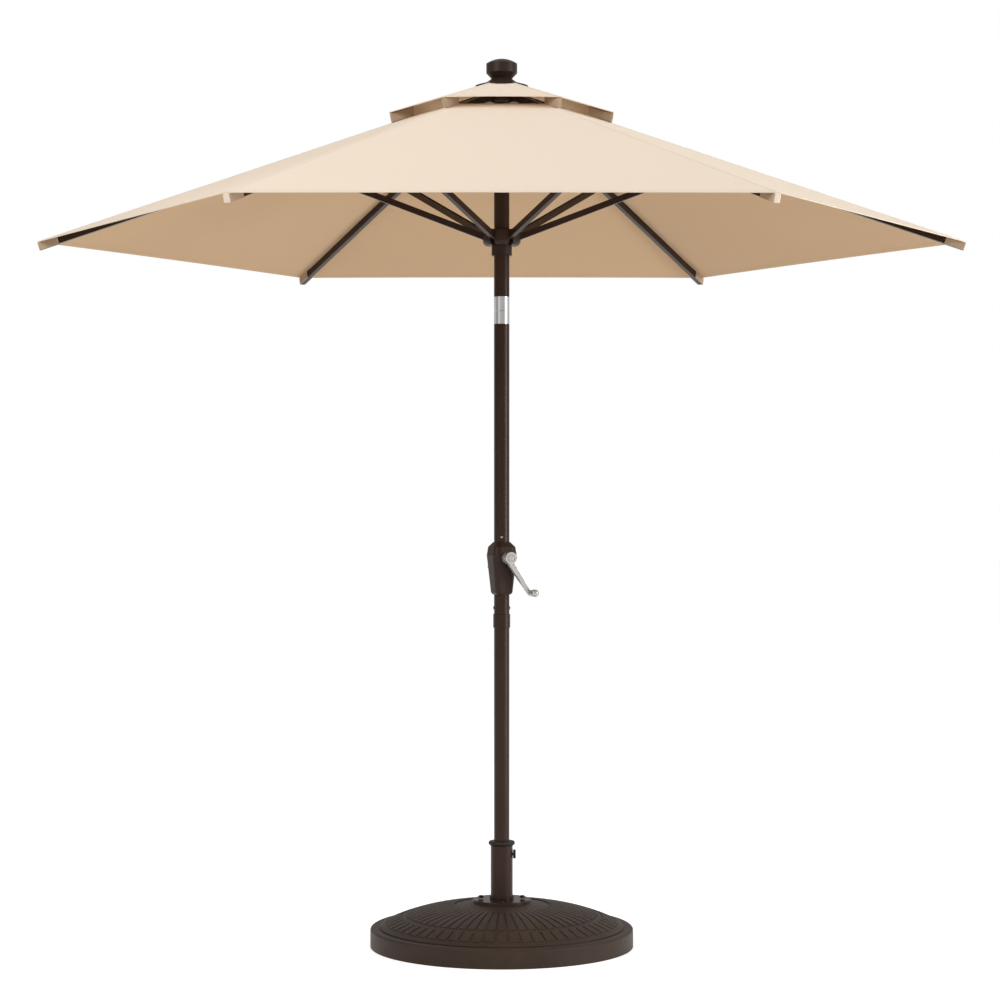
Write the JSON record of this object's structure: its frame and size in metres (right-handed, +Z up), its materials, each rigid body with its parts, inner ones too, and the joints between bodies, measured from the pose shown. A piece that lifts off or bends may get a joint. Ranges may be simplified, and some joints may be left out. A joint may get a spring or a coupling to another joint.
{
  "type": "patio umbrella with base",
  "caption": "Market patio umbrella with a vented cloth canopy on folding ribs, crank and tilt pole, standing in a round weighted base.",
  "frame": {"origin": "on the floor under the middle of the base", "axes": "+Z up along the pole, +X to the right and -Y to the front as pictured, ribs every sixth of a turn from +X"},
  "size_m": [2.2862, 1.9878, 2.18],
  "materials": {
    "bronze": "satin",
    "bronze_plastic": "satin",
    "resin": "matte",
    "black_plastic": "matte",
    "chrome": "polished",
    "silver": "satin",
    "steel": "satin",
    "canopy_cloth": "matte"
  },
  "bodies": {
    "base": {"base_plate": "resin", "stem_flange": "bronze", "flange_bolts": "bronze", "stem_tube": "bronze", "stem_bush": "black_plastic"},
    "clamp_screw": {"stem_screw": "steel"},
    "clamp_knob": {"stem_knob": "black_plastic"},
    "pole": {"lower_pole": "bronze", "pole_coupling": "bronze", "mid_pole": "bronze", "pole_rivet": "steel", "tilt_lower": "chrome", "tilt_pin": "steel", "crank_housing_front": "bronze_plastic", "crank_housing_rear": "bronze_plastic", "housing_screws": "steel"},
    "snap_button_right": {"push_button_right": "bronze"},
    "snap_button_left": {"push_button_left": "bronze"},
    "tilt_release": {"tilt_button": "black_plastic"},
    "crank": {"crank_shaft": "steel", "cord_spool": "black_plastic", "crank_arm": "silver", "crank_cap": "silver"},
    "crank_grip": {"crank_knob": "silver"},
    "top": {"upper_pole": "bronze", "tilt_upper": "chrome", "top_hub": "bronze_plastic", "hub_pins": "steel", "finial_skirt": "bronze_plastic", "finial_knob": "bronze_plastic", "pulley_pin": "steel"},
    "pulley": {"top_pulley": "black_plastic"},
    "runner": {"runner": "bronze_plastic", "runner_pins": "steel"},
    "rib_1": {"rib_1": "bronze", "rib_bracket_1": "silver", "canopy_1": "canopy_cloth"},
    "strut_1": {"strut_1": "bronze"},
    "rib_2": {"rib_2": "bronze", "rib_bracket_2": "silver", "canopy_2": "canopy_cloth"},
    "strut_2": {"strut_2": "bronze"},
    "rib_3": {"rib_3": "bronze", "rib_bracket_3": "silver", "canopy_3": "canopy_cloth"},
    "strut_3": {"strut_3": "bronze"},
    "rib_4": {"rib_4": "bronze", "rib_bracket_4": "silver", "canopy_4": "canopy_cloth"},
    "strut_4": {"strut_4": "bronze"},
    "rib_5": {"rib_5": "bronze", "rib_bracket_5": "silver", "canopy_5": "canopy_cloth"},
    "strut_5": {"strut_5": "bronze"},
    "rib_6": {"rib_6": "bronze", "rib_bracket_6": "silver", "canopy_6": "canopy_cloth"},
    "strut_6": {"strut_6": "bronze"}
  },
  "joints": [
    {"name": "clamp_knob_turn", "type": "hinge", "parent": "clamp_screw", "child": "clamp_knob", "pos_m": [0.02725, 0, 0.224], "axis": [1, 0, 0], "range_deg": [0, 2880.01]},
    {"name": "clamp_screw_travel", "type": "slide", "parent": "base", "child": "clamp_screw", "axis": [1, 0, 0], "range_m": [0, 0.01]},
    {"name": "pole_swivel", "type": "hinge", "parent": "base", "child": "pole", "pos_m": [0, 0, 0.15], "axis": [0, 0, 1], "continuous": true},
    {"name": "snap_button_right_press", "type": "slide", "parent": "pole", "child": "snap_button_right", "axis": [-1, 0, 0], "range_m": [0, 0.0026], "stiffness_N_per_m": 600, "springref_m": -0.004},
    {"name": "snap_button_left_press", "type": "slide", "parent": "pole", "child": "snap_button_left", "axis": [1, 0, 0], "range_m": [0, 0.0026], "stiffness_N_per_m": 600, "springref_m": -0.004},
    {"name": "crank_turn", "type": "hinge", "parent": "pole", "child": "crank", "pos_m": [0, 0, 0.95275], "axis": [0.4226, -0.9063, 0], "range_deg": [0, 3550.41]},
    {"name": "crank_grip_spin", "type": "hinge", "parent": "crank", "child": "crank_grip", "pos_m": [0.07444, -0.02818, 0.8672], "axis": [0.4226, -0.9063, 0], "continuous": true},
    {"name": "tilt", "type": "hinge", "parent": "pole", "child": "top", "pos_m": [0, 0, 1.56775], "axis": [-1, 0, 0], "range_deg": [0, 30]},
    {"name": "tilt_button_press", "type": "slide", "parent": "pole", "child": "tilt_release", "axis": [0, -1, 0], "range_m": [0, 0.003], "stiffness_N_per_m": 800, "springref_m": -0.004},
    {"name": "pulley_turn", "type": "hinge", "parent": "top", "child": "pulley", "pos_m": [0, 0, 2.03975], "axis": [1, 0, 0], "range_deg": [0, 3381.34]},
    {"name": "canopy_fold", "type": "hinge", "parent": "top", "child": "rib_1", "pos_m": [0.038, 0, 2.08675], "axis": [0, 1, 0], "range_deg": [0, 61.5], "deforming": ["canopy_1"]},
    {"name": "strut_1_swing", "type": "hinge", "parent": "rib_1", "child": "strut_1", "pos_m": [0.49378, 0, 1.91325], "axis": [0, 1, 0], "range_deg": [-123, 0]},
    {"name": "rib_2_fold", "type": "hinge", "parent": "top", "child": "rib_2", "pos_m": [0.019, 0.03291, 2.08675], "axis": [-0.866, 0.5, 0], "range_deg": [0, 61.5], "deforming": ["canopy_2"]},
    {"name": "strut_2_swing", "type": "hinge", "parent": "rib_2", "child": "strut_2", "pos_m": [0.24689, 0.42762, 1.91325], "axis": [-0.866, 0.5, 0], "range_deg": [-123, 0]},
    {"name": "rib_3_fold", "type": "hinge", "parent": "top", "child": "rib_3", "pos_m": [-0.019, 0.03291, 2.08675], "axis": [-0.866, -0.5, 0], "range_deg": [0, 61.5], "deforming": ["canopy_3"]},
    {"name": "strut_3_swing", "type": "hinge", "parent": "rib_3", "child": "strut_3", "pos_m": [-0.24689, 0.42762, 1.91325], "axis": [-0.866, -0.5, 0], "range_deg": [-123, 0]},
    {"name": "rib_4_fold", "type": "hinge", "parent": "top", "child": "rib_4", "pos_m": [-0.038, 0, 2.08675], "axis": [0, -1, 0], "range_deg": [0, 61.5], "deforming": ["canopy_4"]},
    {"name": "strut_4_swing", "type": "hinge", "parent": "rib_4", "child": "strut_4", "pos_m": [-0.49378, 0, 1.91325], "axis": [0, -1, 0], "range_deg": [-123, 0]},
    {"name": "rib_5_fold", "type": "hinge", "parent": "top", "child": "rib_5", "pos_m": [-0.019, -0.03291, 2.08675], "axis": [0.866, -0.5, 0], "range_deg": [0, 61.5], "deforming": ["canopy_5"]},
    {"name": "strut_5_swing", "type": "hinge", "parent": "rib_5", "child": "strut_5", "pos_m": [-0.24689, -0.42762, 1.91325], "axis": [0.866, -0.5, 0], "range_deg": [-123, 0]},
    {"name": "rib_6_fold", "type": "hinge", "parent": "top", "child": "rib_6", "pos_m": [0.019, -0.03291, 2.08675], "axis": [0.866, 0.5, 0], "range_deg": [0, 61.5], "deforming": ["canopy_6"]},
    {"name": "strut_6_swing", "type": "hinge", "parent": "rib_6", "child": "strut_6", "pos_m": [0.24689, -0.42762, 1.91325], "axis": [0.866, 0.5, 0], "range_deg": [-123, 0]},
    {"name": "runner_pivot", "type": "hinge", "parent": "strut_1", "child": "runner", "pos_m": [0.038, 0, 1.73975], "axis": [0, 1, 0], "range_deg": [0, 61.5]}
  ],
  "couplings": [
    {"joint": "clamp_knob_turn", "follows": "clamp_screw_travel", "rad_per_m": 5026.5},
    {"joint": "strut_1_swing", "follows": "canopy_fold", "ratio": -2},
    {"joint": "rib_2_fold", "follows": "canopy_fold", "ratio": 1},
    {"joint": "strut_2_swing", "follows": "canopy_fold", "ratio": -2},
    {"joint": "rib_3_fold", "follows": "canopy_fold", "ratio": 1},
    {"joint": "strut_3_swing", "follows": "canopy_fold", "ratio": -2},
    {"joint": "rib_4_fold", "follows": "canopy_fold", "ratio": 1},
    {"joint": "strut_4_swing", "follows": "canopy_fold", "ratio": -2},
    {"joint": "rib_5_fold", "follows": "canopy_fold", "ratio": 1},
    {"joint": "strut_5_swing", "follows": "canopy_fold", "ratio": -2},
    {"joint": "rib_6_fold", "follows": "canopy_fold", "ratio": 1},
    {"joint": "strut_6_swing", "follows": "canopy_fold", "ratio": -2},
    {"joint": "runner_pivot", "follows": "canopy_fold", "ratio": 1},
    {"joint": "crank_turn", "follows": "canopy_fold", "ratio": 57.73},
    {"joint": "pulley_turn", "follows": "canopy_fold", "ratio": 54.981}
  ]
}
